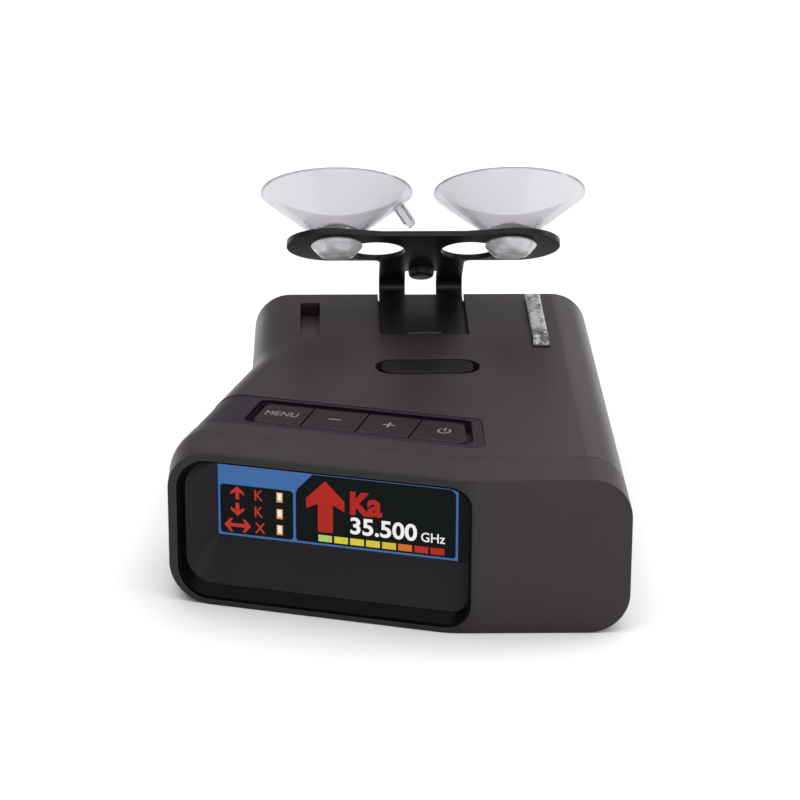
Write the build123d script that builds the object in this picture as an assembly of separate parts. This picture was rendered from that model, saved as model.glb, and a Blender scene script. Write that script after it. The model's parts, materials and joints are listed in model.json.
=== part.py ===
from build123d import *
import math
import os

# Dashboard radar detector with a windshield bracket and two suction cups.
# Millimetres, +Z up. The origin is the middle of the flat underside.
# The driver's side (display face) looks along -Y, the road side along +Y.

# case
body_width = 89.0
body_length = 114.3
body_height = 31.7
edge_round = 8.0
far_edge_round = 2.0
wall = 2.0
seam_gap = 0.2
split_height = 10.0
bezel_depth = 12.0
lip_reach = 3.0
lip_inset = wall + 0.05
lip_thickness = 1.05

# plan outline, distances in y counted from the display face
face_turn = 17.0
kink_x = 9.7
left_x = -44.9
waist_x = -29.9
waist_start = 76.5
kink_blend = 20.0
flare_blend = 20.0
waist_blend = 25.0

# display recess, s runs left from the kink along the turned face, d runs inward
opening_s = (-3.9, 55.3)
opening_z = (1.0, 30.3)
trim_front = 0.5
hood_front = 2.6
throat_s = (-3.0, 54.4)
throat_z = (3.4, 28.9)
screen_depth = 7.0
screen_s = (0.2, 49.1)
screen_z = (12.2, 27.7)
window_thickness = 1.2
gasket_thickness = 0.6
panel_thickness = 1.6
board_thickness = 1.2

# keypad band on the top, same s and d
band_d = (17.5, 33.8)
band_right_x = 17.2
band_play = 0.1
band_sink = 0.15
band_thickness = 0.8
band_low_z = 20.0
band_s_left = 90.0
band_corner = 2.2
well_d = (19.7, 32.7)
well_s_left = 48.3
well_right_x = 15.0
well_corner = 1.8
key_d = (20.0, 30.2)
key_joints_s = (46.5, 36.3, 24.9, 13.9)
key_right_x = 13.6
key_gap = 0.3
key_corner = 1.4
key_top = 31.65
key_bottom = 29.3
press_travel = 0.5

# mute button, dock and bracket share one centre line
centre_x = 7.35
mute_y = 64.4
mute_well = (21.9, 9.3)
mute_well_corner = 4.2
mute_size = (19.2, 7.7)
mute_corner = 3.0

# dock for the bracket's tongue
dock_start = 84.8
dock_width = 19.3
dock_slot_width = 21.0
dock_floor = 29.6
dock_slot_top = 30.5
sheet = 1.2
tongue_width = 20.4
tongue_land_width = 17.9
tongue_z = 30.3
tongue_start = 85.0
lip_width = 7.4
lip_depth = 1.2
lip_top = 32.1
web_width = 18.7
bend_radius = 3.0
bend_y = 113.2
plate_lean = 35.0

# bracket plate, measured up the plate from the end of the bend and sideways from its middle
lobe_reach = 19.9
lobe_t = 21.8
lobe_radius = 9.9
plate_top_t = 29.4
plate_dip_reach = 9.0
keyhole_reach = 10.2
keyhole_t = 18.75
keyhole_radius = 6.25
neck_reach = 18.85
neck_t = 24.8
slot_half = 2.7
bracket_window_width = 7.0
bracket_window_top = 3.9
bumper_t = 4.8
bumper_radius = 2.85
bumper_height = 1.7
bumper_stem_t = 5.75
bumper_stem_radius = 1.1

# suction cups, h runs along the cup's axis from the middle of the sheet
cup_rim_radius = 16.5
cup_rim_height = 11.0
cup_base_radius = 4.9
cup_wall = 1.0
cup_floor = 1.5
cup_boss_radius = 3.0
cup_boss_height = 1.3
cup_neck_radius = 2.4
cup_play = 0.25
knob_radius = 5.6
knob_end_radius = 3.9
knob_height = 2.7
tab_width = 3.0
tab_reach = 3.6
tab_thickness = 1.0
tab_bend_back = 50
tab_turn = 30

# sensors and their pockets
light_x = (-19.6, -15.3)
light_distance = (83.1, 106.6)
light_depth = (0.6, 2.8)
lens_x = (30.3, 33.9)
lens_distance = (75.6, 108.5)
lens_rise = 1.7
far_window_x = (23.6, 33.6)
far_window_z = (14.0, 21.0)

# boards and fixings
main_board_z = 11.0
main_board_thickness = 1.6
board_top = main_board_z + main_board_thickness
key_board_z = 24.0
mat_z = 27.9
mat_thickness = 0.8
case_screw_points = ((-34.5, 33.5), (36.0, 42.0), (-22.0, 107.0), (36.0, 107.0))
board_screw_points = ((-22.0, 72.0), (36.0, 88.0), (-31.0, 46.0), (15.0, 21.0))

# sockets, speaker and label
power_socket_y = (62.5, 76.5)
power_socket_z = (board_top, board_top + 12.4)
audio_y = 52.0
audio_z = board_top + 3.0
usb_y = (88.0, 97.0)
usb_z = (board_top, board_top + 3.4)
label_x = (8.0, 34.0)
label_distance = (40.0, 80.0)
label_depth = 0.35
speaker_point = (-17.0, 54.0)
speaker_radius = 10.0
speaker_slot_pitch = 2.4

front_y = -body_length / 2
rear_y = body_length / 2
right_x = body_width / 2
turn = math.radians(face_turn)
turn_cos = math.cos(turn)
turn_sin = math.sin(turn)
lean_cos = math.cos(math.radians(plate_lean))
lean_sin = math.sin(math.radians(plate_lean))


def from_face(x, distance):
    """A plan point given by x and its distance in y from the straight part of the face."""
    return (x, front_y + distance)


def turned(s, d):
    """A plan point s to the left of the kink along the turned face and d inward."""
    return (kink_x - s * turn_cos + d * turn_sin, front_y + s * turn_sin + d * turn_cos)


def turned_plane(d):
    """Plane parallel to the turned face at depth d: x to the right, y up, normal outward."""
    x, y = turned(0, d)
    return Plane(origin=(x, y, 0), x_dir=(turn_cos, -turn_sin, 0), z_dir=(-turn_sin, -turn_cos, 0))


def turned_rectangle(span_s, span_z, corner_left, corner_right):
    """Rounded rectangle in a turned plane, between two s values and two heights."""
    width = span_s[1] - span_s[0]
    height = span_z[1] - span_z[0]
    shape = Pos(-(span_s[0] + span_s[1]) / 2, (span_z[0] + span_z[1]) / 2) * Rectangle(width, height)
    left = shape.vertices().group_by(Axis.X)[0]
    shape = fillet(left, corner_left)
    right = shape.vertices().group_by(Axis.X)[-1]
    return fillet(right, corner_right)


def turned_prism(shape, depth_from, depth_to):
    """Solid from a sketch in turned coordinates between two depths."""
    return extrude(turned_plane(depth_from) * shape, amount=depth_from - depth_to)


def turned_funnel(front, back, depth_from, depth_to):
    """Straight-sided solid between two sketches at two depths."""
    sections = [turned_plane(depth_from) * front, turned_plane(depth_to) * back]
    return loft(sections, ruled=True)


def upright(points, low, high):
    """Upright prism over a polygon of plan points."""
    return extrude(Pos(0, 0, low) * make_face(Polyline(*points, close=True)), high - low)


def block(x_span, distance_span, z_span):
    """Box between two x values, two distances from the face and two heights."""
    x_size = x_span[1] - x_span[0]
    y_size = distance_span[1] - distance_span[0]
    z_size = z_span[1] - z_span[0]
    middle = ((x_span[0] + x_span[1]) / 2, front_y + sum(distance_span) / 2, sum(z_span) / 2)
    return Pos(*middle) * Box(x_size, y_size, z_size)


def post(point, radius, low, high):
    """Upright round post over a point given by x and distance from the face."""
    x, y = from_face(*point)
    return Pos(x, y, (low + high) / 2) * Cylinder(radius, high - low)


def nearest_vertex(shape, x, y):
    return shape.vertices().sort_by(lambda vertex: math.hypot(vertex.X - x, vertex.Y - y))[0]


def plan_outline():
    """Outline of the case seen from above, with its three soft bends."""
    flare_run = (waist_x - left_x) / math.tan(turn)
    waist_corner = from_face(waist_x, waist_start)
    flare_corner = from_face(left_x, waist_start - flare_run)
    face_corner_s = (kink_x - left_x) / turn_cos
    points = [
        from_face(right_x, 0),
        from_face(right_x, body_length),
        from_face(waist_x, body_length),
        waist_corner,
        flare_corner,
        turned(face_corner_s, 0),
        from_face(kink_x, 0),
    ]
    shape = make_face(Polyline(*points, close=True))
    bends = ((waist_corner, waist_blend), (flare_corner, flare_blend), (from_face(kink_x, 0), kink_blend))
    for corner, radius in bends:
        shape = fillet(nearest_vertex(shape, *corner), radius)
    return shape


def case_block(inset):
    """The whole case as one block, drawn in by an inset on every side."""
    plan = plan_outline()
    if inset > 0:
        plan = offset(plan, amount=-inset, kind=Kind.INTERSECTION)
    shape = extrude(Pos(0, 0, inset) * plan, body_height - 2 * inset)
    left_limit = waist_x + inset + 0.1
    right_limit = right_x - inset - 0.1
    level = [edge for edge in shape.edges() if abs(edge.tangent_at(0.5).Z) < 0.5]
    sides = [edge for edge in level if (edge @ 0.5).X < left_limit or (edge @ 0.5).X > right_limit]
    return fillet(sides, edge_round - inset)


def seam_zone(depth):
    """Everything in front of a line that follows the face at a depth."""
    far = 200
    bend = from_face(kink_x + depth * math.tan(turn / 2), depth)
    points = [from_face(far, -far), from_face(far, depth), bend, turned(far, depth), turned(far, -far)]
    shape = make_face(Polyline(*points, close=True))
    shape = fillet(nearest_vertex(shape, *bend), kink_blend / 2)
    return extrude(Pos(0, 0, -far) * shape, 2 * far)


def far_rim_rounded(shape):
    """The case block with its outer rim at the far end rounded over."""
    return fillet([edge for edge in shape.edges() if abs((edge @ 0.5).Y - rear_y) < 0.01], far_edge_round)


solid_case = far_rim_rounded(case_block(0))
hollow_case = case_block(wall)
lip_ring = case_block(lip_inset) - case_block(lip_inset + lip_thickness)
lip_root = case_block(wall / 2) - case_block(lip_inset + lip_thickness)
shell = solid_case - hollow_case


def band_outline(span_d, right_edge, left_s, corner):
    """Plan shape that follows the turned face at the left and ends parallel to y at the right."""
    right_near = (right_edge, turned_line_y(right_edge, span_d[0]))
    right_far = (right_edge, turned_line_y(right_edge, span_d[1]))
    points = [turned(left_s, span_d[0]), right_near, right_far, turned(left_s, span_d[1])]
    shape = make_face(Polyline(*points, close=True))
    if corner > 0:
        shape = fillet(shape.vertices(), corner)
    return shape


def turned_line_y(x, d):
    """The y of the line at depth d behind the turned face, where it crosses x."""
    s = (kink_x + d * turn_sin - x) / turn_cos
    return front_y + s * turn_sin + d * turn_cos


def mute_outline(size, corner):
    x, y = from_face(centre_x, mute_y)
    return Pos(x, y) * RectangleRounded(size[0], size[1], corner)


def pocket_wedge(x_span, distance_span, depth_span):
    """Pocket in the top that gets deeper towards the road side."""
    start, end = distance_span
    section = Plane.YZ * make_face(
        Polyline(
            (front_y + start, body_height + 1),
            (front_y + start, body_height - depth_span[0]),
            (front_y + end, body_height - depth_span[1]),
            (front_y + end, body_height + 1),
            close=True,
        )
    )
    return Pos(x_span[0], 0, 0) * extrude(section, x_span[1] - x_span[0])


# ---------------------------------------------------------------- case


def key_well():
    """Plan shape of the opening that the four keys sit in."""
    return band_outline(well_d, well_right_x, well_s_left, well_corner)


def band_shape(low_inset, high_inset, play):
    """A layer of the case's skin between two insets, inside the keypad band's outline."""
    outline = band_outline(band_d, band_right_x, band_s_left, band_corner)
    if play > 0:
        outline = offset(outline, amount=-play)
    layer = case_block(high_inset) if high_inset > 0 else solid_case
    layer = layer - case_block(low_inset)
    return layer & extrude(Pos(0, 0, band_low_z) * outline, 40)


def top_pads():
    """Thicker spots under the top wall, where something is sunk into it."""
    key_pad = extrude(Pos(0, 0, 28.8) * offset(key_well(), amount=2.6), 1.4)
    dock_pad = block((centre_x - 13.5, centre_x + 13.5), (dock_start - 3, body_length - 1), (27.4, 30.5))
    light_pad = block((-21.2, -13.9), (86, 109), (27.4, 30.5))
    lens_pad = block((28.4, 36.2), (73.5, 111), (26.4, 30.5))
    return [key_pad & case_block(1.0), dock_pad & case_block(1.0), light_pad, lens_pad]


def dock_cut():
    """Channel for the bracket's tongue, open at the far end, with a slot under each lip."""
    far = body_length + 5
    half_width = dock_width / 2
    half_slot = dock_slot_width / 2
    channel_x = (centre_x - half_width, centre_x + half_width)
    slots_x = (centre_x - half_slot, centre_x + half_slot)
    spring_z = (dock_floor - 0.9, dock_floor + 0.1)
    channel = block(channel_x, (dock_start, far), (dock_floor, 40))
    slots = block(slots_x, (dock_start, far), (dock_floor, dock_slot_top))
    spring_pocket = block((centre_x - 3.2, centre_x + 3.2), (88.5, 99.5), spring_z)
    return [channel, slots, spring_pocket]


def wall_ports():
    """Holes in the side and far walls for the sockets and the far laser window."""
    power = block((right_x - 4, right_x + 2), power_socket_y, power_socket_z)
    usb = block((waist_x - 2, waist_x + 4), usb_y, usb_z)
    x, y = from_face(right_x, audio_y)
    audio = Pos(x, y, audio_z) * Rot(0, 90, 0) * Cylinder(3.1, 8)
    window = block(far_window_x, (body_length - 4, body_length + 2), far_window_z)
    return [power, usb, audio, window]


def lip_between(zone_root, zone_reach):
    """The ring inside a seam: fused to the piece at its root and free where it reaches over."""
    return (lip_root & zone_root) + (lip_ring & zone_reach)


def level_zone(low, high):
    return Pos(0, 0, (low + high) / 2) * Box(300, 300, high - low)


def top_cover():
    rear = shell - seam_zone(bezel_depth + seam_gap / 2)
    cover = rear & level_zone(split_height + seam_gap / 2, 60)
    for pad in top_pads():
        cover = cover + (pad - seam_zone(bezel_depth + lip_reach + 1))
    for point in case_screw_points:
        column = post(point, 2.7, split_height + seam_gap / 2, body_height - 1) & case_block(1.0)
        cover = cover + column
        cover = cover - post(point, 0.9, 0, 24)
    cover = cover - band_shape(band_sink + band_thickness, 0, 0)
    cover = cover - extrude(Pos(0, 0, 26) * key_well(), 10)
    cover = cover - extrude(Pos(0, 0, 26) * mute_outline(mute_well, mute_well_corner), 10)
    for cut in dock_cut() + wall_ports():
        cover = cover - cut
    cover = cover - pocket_wedge(light_x, light_distance, light_depth)
    cover = cover - block(lens_x, lens_distance, (27.4, 40))
    return cover


def bottom_cover():
    rear = shell - seam_zone(bezel_depth + seam_gap / 2)
    cover = rear & level_zone(-10, split_height - seam_gap / 2)
    root = level_zone(split_height - lip_reach, split_height - seam_gap / 2)
    reach = level_zone(split_height - 1, split_height + 1.0)
    lip = lip_between(root, reach) - seam_zone(bezel_depth + lip_reach + 0.6)
    for point in case_screw_points:
        lip = lip - post(point, 3.1, 0, 30)
    cover = cover + lip
    for point in case_screw_points:
        cover = cover + post(point, 3.4, wall / 2, split_height - seam_gap / 2)
        cover = cover - post(point, 2.6, -1, 6)
        cover = cover - post(point, 1.25, -1, 20)
    for point in board_screw_points:
        cover = cover + post(point, 2.6, wall / 2, main_board_z)
        cover = cover - post(point, 0.8, 4, 20)
    for cut in speaker_slots():
        cover = cover - cut
    cover = cover - block(label_x, label_distance, (-1, label_depth))
    return cover


def speaker_slots():
    """Sound slots in the underside below the speaker."""
    slots = []
    x, y = from_face(*speaker_point)
    for row in range(-3, 4):
        length = 2 * math.sqrt((speaker_radius - 1.5) ** 2 - (row * speaker_slot_pitch) ** 2)
        slot = extrude(SlotOverall(length, 1.2), amount=6, both=True)
        slots.append(Pos(x, y + row * speaker_slot_pitch, 0) * slot)
    return slots


def display_bezel():
    cap = shell & seam_zone(bezel_depth - seam_gap / 2)
    root = seam_zone(bezel_depth - seam_gap / 2) - seam_zone(bezel_depth - lip_reach)
    reach = seam_zone(bezel_depth + lip_reach - 0.5) - seam_zone(bezel_depth - 1)
    cap = cap + lip_between(root, reach)
    opening = turned_rectangle(opening_s, opening_z, 6.6, 4.6)
    cap = cap - turned_prism(opening, -2, hood_front)
    return cap - turned_prism(hood_mouth_outer(), hood_front - 0.1, hood_front + 1.6)


# ---------------------------------------------------------------- display


def display_trim():
    """Glossy frame just inside the recess, with sloped inner walls."""
    play = 0.05
    outer = offset(turned_rectangle(opening_s, opening_z, 6.6, 4.6), amount=-play)
    mouth_s = (opening_s[0] + 0.4, opening_s[1] - 0.4)
    mouth_z = (opening_z[0] + 0.5, opening_z[1] - 0.5)
    mouth = turned_rectangle(mouth_s, mouth_z, 6.2, 4.2)
    throat = turned_rectangle(throat_s, throat_z, 5.6, 3.4)
    ring = turned_prism(outer, trim_front, hood_front)
    return ring - turned_funnel(mouth, throat, trim_front, hood_front)


def hood_mouth_outer():
    """Outside of the hood where it meets the trim."""
    span_s = (throat_s[0] - 0.8, throat_s[1] + 0.7)
    span_z = (throat_z[0] - 0.7, throat_z[1] + 0.5)
    return turned_rectangle(span_s, span_z, 6.0, 3.8)


def display_hood():
    """Matt funnel from the trim down to the screen."""
    throat = turned_rectangle(throat_s, throat_z, 5.6, 3.4)
    throat_outer = hood_mouth_outer()
    screen = turned_rectangle((screen_s[0] - 2.9, screen_s[1]), (screen_z[0], screen_z[1] + 0.5), 0.4, 0.4)
    outer_s = (screen_s[0] - 3.8, screen_s[1] + 1.2)
    outer_z = (screen_z[0] - 1.2, screen_z[1] + 1.6)
    back_outer = turned_rectangle(outer_s, outer_z, 0.8, 0.8)
    body = turned_funnel(throat_outer, back_outer, hood_front, screen_depth)
    return body - turned_funnel(throat, screen, hood_front, screen_depth)


window_back = screen_depth + window_thickness
gasket_back = window_back + gasket_thickness
panel_back = gasket_back + panel_thickness
display_board_back = panel_back + board_thickness


def display_window():
    shape = turned_rectangle((screen_s[0] - 4.0, screen_s[1] + 1.3), (screen_z[0] - 1.2, 29.3), 0.6, 0.6)
    return turned_prism(shape, screen_depth, window_back)


def display_gasket():
    outer = turned_rectangle((screen_s[0] - 2.4, screen_s[1] + 1.2), (screen_z[0] - 1.1, 29.2), 0.6, 0.6)
    inner_s = (screen_s[0] - 0.3, screen_s[1] + 0.3)
    inner_z = (screen_z[0] - 0.3, screen_z[1] + 0.3)
    inner = turned_rectangle(inner_s, inner_z, 0.5, 0.5)
    return turned_prism(outer, window_back, gasket_back) - turned_prism(inner, window_back, gasket_back)


def display_panel():
    shape = turned_rectangle((screen_s[0] - 2.0, screen_s[1] + 1.0), (screen_z[0] - 0.8, 28.4), 0.4, 0.4)
    return turned_prism(shape, gasket_back, panel_back)


def display_board():
    shape = turned_rectangle((screen_s[0] - 3.0, screen_s[1] + 1.4), (4.0, 28.4), 1.0, 1.0)
    board = turned_prism(shape, panel_back, display_board_back)
    driver = turned_rectangle((20, 30), (5.5, 9.5), 0.3, 0.3)
    return board + turned_prism(driver, panel_back - 1.0, panel_back)


def display_flex_cable():
    """Flat ribbon from the back of the display board down to the main board."""
    ribbon = 0.3
    run_end = 19.0
    height = 16.0
    span = (18, 30)
    tab = turned_rectangle(span, (height, height + 6), 0.2, 0.2)
    run = turned_rectangle(span, (height, height + ribbon), 0.1, 0.1)
    drop = turned_rectangle(span, (board_top + 1.2, height + ribbon), 0.1, 0.1)
    plug = turned_rectangle((span[0] - 1, span[1] + 1), (board_top, board_top + 1.2), 0.2, 0.2)
    cable = turned_prism(tab, display_board_back, display_board_back + ribbon)
    cable = cable + turned_prism(run, display_board_back, run_end)
    cable = cable + turned_prism(drop, run_end - ribbon, run_end)
    return cable + turned_prism(plug, run_end - 1.8, run_end + 1.4)


# ---------------------------------------------------------------- keys


def keypad_surround():
    """Thin dark band round the keys that wraps over the rounded left edge."""
    band = band_shape(band_sink + band_thickness, band_sink, band_play)
    return band - extrude(Pos(0, 0, 26) * key_well(), 10)


def key_blank(left_s, right_s):
    """One key between two joints; the last one ends parallel to y."""
    near_left = turned(left_s - key_gap / 2, key_d[0])
    far_left = turned(left_s - key_gap / 2, key_d[1])
    if right_s is None:
        near_right = (key_right_x, turned_line_y(key_right_x, key_d[0]))
        far_right = (key_right_x, turned_line_y(key_right_x, key_d[1]))
    else:
        near_right = turned(right_s + key_gap / 2, key_d[0])
        far_right = turned(right_s + key_gap / 2, key_d[1])
    return make_face(Polyline(near_left, near_right, far_right, far_left, close=True))


def key(left_s, right_s, round_left, round_right):
    """A key with its outer corners rounded and a small edge break round its top."""
    shape = key_blank(left_s, right_s)
    corners = shape.vertices().sort_by(Axis.X)
    if round_left:
        shape = fillet(corners[:2], key_corner)
    if round_right:
        shape = fillet(shape.vertices().sort_by(Axis.X)[-2:], key_corner)
    body = extrude(Pos(0, 0, key_bottom) * shape, key_top - key_bottom)
    return fillet(body.edges().group_by(Axis.Z)[-1], 0.25)


def mute_button():
    outline = Pos(0, 0, key_bottom) * mute_outline(mute_size, mute_corner)
    body = extrude(outline, body_height + 0.1 - key_bottom)
    return fillet(body.edges().group_by(Axis.Z)[-1], 0.35)


def key_board_outline():
    points = [(-31.2, 31.0), (16, 16.4), (18.6, 24), (18.6, 70.5), (-5.5, 70.5), (-5.5, 55), (-29.0, 47.5)]
    return [from_face(*point) for point in points]


def key_board():
    return upright(key_board_outline(), key_board_z, key_board_z + board_thickness)


def keypad_mat():
    """Silicone sheet between the keys and their switches."""
    sheet_shape = make_face(Polyline(*key_board_outline(), close=True))
    shape = offset(sheet_shape, amount=-0.8, kind=Kind.INTERSECTION)
    return extrude(Pos(0, 0, mat_z) * shape, mat_thickness)


def switch_points():
    """Plan points of the five switches: four under the keys and one under the mute button."""
    middle_d = sum(key_d) / 2
    middles = [41.3, 30.6, 19.45, 6.5]
    return [turned(s, middle_d) for s in middles] + [from_face(centre_x, mute_y)]


def tact_switches():
    switches = []
    base = key_board_z + board_thickness
    for x, y in switch_points():
        body = Pos(x, y, base + 0.8) * Box(5.2, 5.2, 1.6)
        stem = Pos(x, y, base + 1.9) * Cylinder(1.4, 0.8)
        switches.append(body + stem)
    return Compound(children=switches)


# ---------------------------------------------------------------- sensors


def rear_laser_lens():
    """Clear block that stands proud of the top, sloped towards the driver, hollow underneath."""
    play = 0.1
    start = lens_distance[0] + 3.0
    end = lens_distance[1] - play
    low = 27.6
    high = body_height + lens_rise
    section = Plane.YZ * make_face(
        Polyline(
            (front_y + start - 2.4, low),
            (front_y + start - 1.6, body_height + 0.2),
            (front_y + start + 0.4, high),
            (front_y + end - 1.0, high),
            (front_y + end, high - 1.0),
            (front_y + end, low),
            close=True,
        )
    )
    body = Pos(lens_x[0] + play, 0, 0) * extrude(section, lens_x[1] - lens_x[0] - 2 * play)
    hollow = block((lens_x[0] + 0.6, lens_x[1] - 0.6), (94.0, 104.0), (low - 1, 30.4))
    long_edges = [edge for edge in body.edges().filter_by(Axis.Y) if (edge @ 0.5).Z > high - 0.1]
    return fillet(long_edges, 0.6) - hollow


def rear_laser_sensor():
    """Two photodiodes on a small carrier, inside the clear block."""
    middle = sum(lens_x) / 2
    carrier = block((middle - 1.1, middle + 1.1), (94.6, 103.4), (27.6, 28.4))
    diodes = [Pos(middle, front_y + distance, 28.9) * Box(1.6, 2.4, 1.0) for distance in (96.6, 101.4)]
    return carrier + diodes[0] + diodes[1]


def light_sensor_window():
    """Dark window at the deep end of the left pocket."""
    middle = sum(light_x) / 2
    end = light_distance[1]
    return block((middle - 1.9, middle + 1.9), (end - 0.8, end - 0.05), (29.3, 31.4))


def light_sensor():
    middle = sum(light_x) / 2
    return block((middle - 1.5, middle + 1.5), (104.4, 107.4), (25.6, 27.3))


def front_laser_window():
    x_span = (far_window_x[0] + 0.1, far_window_x[1] - 0.1)
    z_span = (far_window_z[0] + 0.1, far_window_z[1] - 0.1)
    return block(x_span, (body_length - wall, body_length - 0.3), z_span)


def front_laser_sensor():
    middle = sum(far_window_x) / 2
    housing = block((middle - 3.6, middle + 3.6), (104.5, 110.8), (board_top, 20.6))
    x, y = from_face(middle, 110.8)
    lens = Pos(x, y, 17.2) * Rot(90, 0, 0) * Cylinder(2.6, 1.6)
    return housing + lens


# ---------------------------------------------------------------- boards and radio parts


def main_board():
    left_side = [(-25.8, 110.8), (-25.8, 79), (-34.5, 50), (-34.5, 37.5)]
    outline = left_side + [(-31, 29.5), (12, 16.5), (40.6, 16.5), (40.6, 110.8)]
    points = [from_face(*point) for point in outline]
    board = upright(points, main_board_z, board_top)
    for point in case_screw_points:
        board = board - post(point, 3.6, 0, 30)
    for point in board_screw_points:
        board = board - post(point, 1.2, 0, 30)
    return board


def horn(x_middle, mouth, throat, mouth_size, throat_size, floor, guide):
    """Pyramidal horn with a square block of waveguide behind its throat."""
    direction = 1 if mouth > throat else -1
    skin = 1.0

    def section(distance, size, grow):
        width = size[0] + 2 * grow
        height = size[1] + 2 * grow
        centre_z = floor + skin + mouth_size[1] / 2
        origin = (x_middle, front_y + distance, centre_z)
        return Plane(origin=origin, x_dir=(1, 0, 0), z_dir=(0, -1, 0)) * Rectangle(width, height)

    outer = loft([section(mouth, mouth_size, skin), section(throat, throat_size, skin)], ruled=True)
    inner = loft([section(mouth, mouth_size, 0), section(throat, throat_size, 0)], ruled=True)
    half = throat_size[0] / 2 + 2.2
    guide_span = sorted((throat, throat - direction * guide))
    centre_z = floor + skin + mouth_size[1] / 2
    guide_top = centre_z + throat_size[1] / 2 + 2.2
    guide_block = block((x_middle - half, x_middle + half), guide_span, (floor, guide_top))
    return (outer - inner) + guide_block


def front_horn_antenna():
    return horn(centre_x, 110.6, 89.5, (32.0, 12.2), (10.7, 4.3), board_top, 5.0)


def rear_horn_antenna():
    return horn(28.0, 7.0, 28.5, (15.5, 11.5), (10.7, 4.3), board_top, 5.0)


def rf_shield_can():
    """Drawn metal can over the radio front end, with a row of cooling holes."""
    span_x = (-4.0, 27.0)
    span_distance = (36.5, 57.5)
    height = 5.0
    skin = 0.4
    can = block(span_x, span_distance, (board_top, board_top + height))
    inner_x = (span_x[0] + skin, span_x[1] - skin)
    inner_distance = (span_distance[0] + skin, span_distance[1] - skin)
    can = can - block(inner_x, inner_distance, (board_top - 1, board_top + height - skin))
    for index in range(5):
        can = can - post((span_x[0] + 5.5 + index * 5.0, 47.0), 0.8, board_top + 2, board_top + 8)
    return can


def gps_antenna():
    """Ceramic patch with its metal face on top."""
    patch = block((-20.0, -5.0), (61.5, 76.5), (board_top, board_top + 4.0))
    face = block((-18.2, -6.8), (63.3, 74.7), (board_top + 4.0, board_top + 4.15))
    return patch + face


def speaker():
    x, y = from_face(*speaker_point)
    rim = Pos(x, y, 2.9) * Cylinder(speaker_radius, 1.8)
    magnet = Pos(x, y, 5.4) * Cylinder(5.0, 3.2)
    return rim + magnet


# ---------------------------------------------------------------- sockets


def power_jack():
    """Six-way modular socket in the right wall, open to the outside, with a latch slot."""
    body_x = (28.6, right_x - 0.3)
    y_span = (power_socket_y[0] + 0.1, power_socket_y[1] - 0.1)
    z_span = (power_socket_z[0], power_socket_z[1] - 0.1)
    body = block(body_x, y_span, z_span)
    mouth_x = (32.5, right_x + 1)
    socket = block(mouth_x, (64.55, 74.45), (15.4, 22.2))
    latch = block(mouth_x, (66.5, 72.5), (22.1, 23.6))
    return body - socket - latch


def audio_jack():
    """Socket for a 3.5 mm plug in the right wall."""
    y = front_y + audio_y
    body = block((30.5, 42.3), (audio_y - 3, audio_y + 3), (board_top, board_top + 6))
    nose = Pos(43.2, y, audio_z) * Rot(0, 90, 0) * Cylinder(3.0, 2.0)
    bore = Pos(38.6, y, audio_z) * Rot(0, 90, 0) * Cylinder(1.8, 14.0)
    return body + nose - bore


def usb_port():
    """Small data socket in the waist wall."""
    y_span = (usb_y[0] + 0.1, usb_y[1] - 0.1)
    z_span = (usb_z[0], usb_z[1] - 0.1)
    body = block((waist_x + 0.3, waist_x + 7.3), y_span, z_span)
    skin = 0.4
    cavity_y = (y_span[0] + skin, y_span[1] - skin)
    cavity_z = (z_span[0] + skin, z_span[1] - skin)
    cavity = block((waist_x - 1, waist_x + 6.6), cavity_y, cavity_z)
    tongue_y = (usb_y[0] + 1.4, usb_y[1] - 1.4)
    tongue = block((waist_x + 1.3, waist_x + 6.7), tongue_y, (board_top + 1.7, board_top + 2.3))
    return body - cavity + tongue


# ---------------------------------------------------------------- fixings and label


def case_screws():
    screws = []
    for point in case_screw_points:
        head = post(point, 2.4, 4.1, 6.0)
        shank = post(point, 0.9, 6.0, 20.0)
        x, y = from_face(*point)
        drive = Pos(x, y, 4.6) * Box(2.4, 0.6, 1.0) + Pos(x, y, 4.6) * Box(0.6, 2.4, 1.0)
        screws.append(head + shank - drive)
    return Compound(children=screws)


def board_screws():
    screws = []
    for point in board_screw_points:
        head = post(point, 2.0, board_top, board_top + 1.4)
        shank = post(point, 0.8, 5.0, board_top)
        screws.append(head + shank)
    return Compound(children=screws)


def rating_label():
    """Blank label in its shallow recess, half a millimetre clear all round."""
    x_span = (label_x[0] + 0.5, label_x[1] - 0.5)
    distance_span = (label_distance[0] + 0.5, label_distance[1] - 0.5)
    return block(x_span, distance_span, (0.1, label_depth))


def dock_detent_spring():
    """Leaf spring in the dock floor that the bracket's tongue slides over."""
    flat = block((centre_x - 2.8, centre_x + 2.8), (89.0, 99.0), (dock_floor - 0.85, dock_floor - 0.45))
    x, y = from_face(centre_x, 94.0)
    hump = Pos(x, y, dock_floor - 1.6) * Rot(0, 90, 0) * Cylinder(1.65, 5.0)
    above = block((centre_x - 5, centre_x + 5), (90, 98), (dock_floor - 0.5, dock_floor + 2))
    return flat + (hump & above)


# ---------------------------------------------------------------- windshield bracket


plate_x = centre_x
arc_end_angle = math.radians(90 - plate_lean)
arc_centre = (front_y + bend_y, tongue_z + bend_radius)
arc_end = (
    arc_centre[0] + bend_radius * math.cos(arc_end_angle),
    arc_centre[1] + bend_radius * math.sin(arc_end_angle),
)
plate_plane = Plane(
    origin=(plate_x, arc_end[0], arc_end[1]),
    x_dir=(1, 0, 0),
    z_dir=(0, -lean_sin, -lean_cos),
)


def plate_prism(shape):
    """Sheet-thick solid from a sketch in the plate's own plane."""
    return extrude(plate_plane * shape, amount=sheet / 2, both=True)


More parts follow.
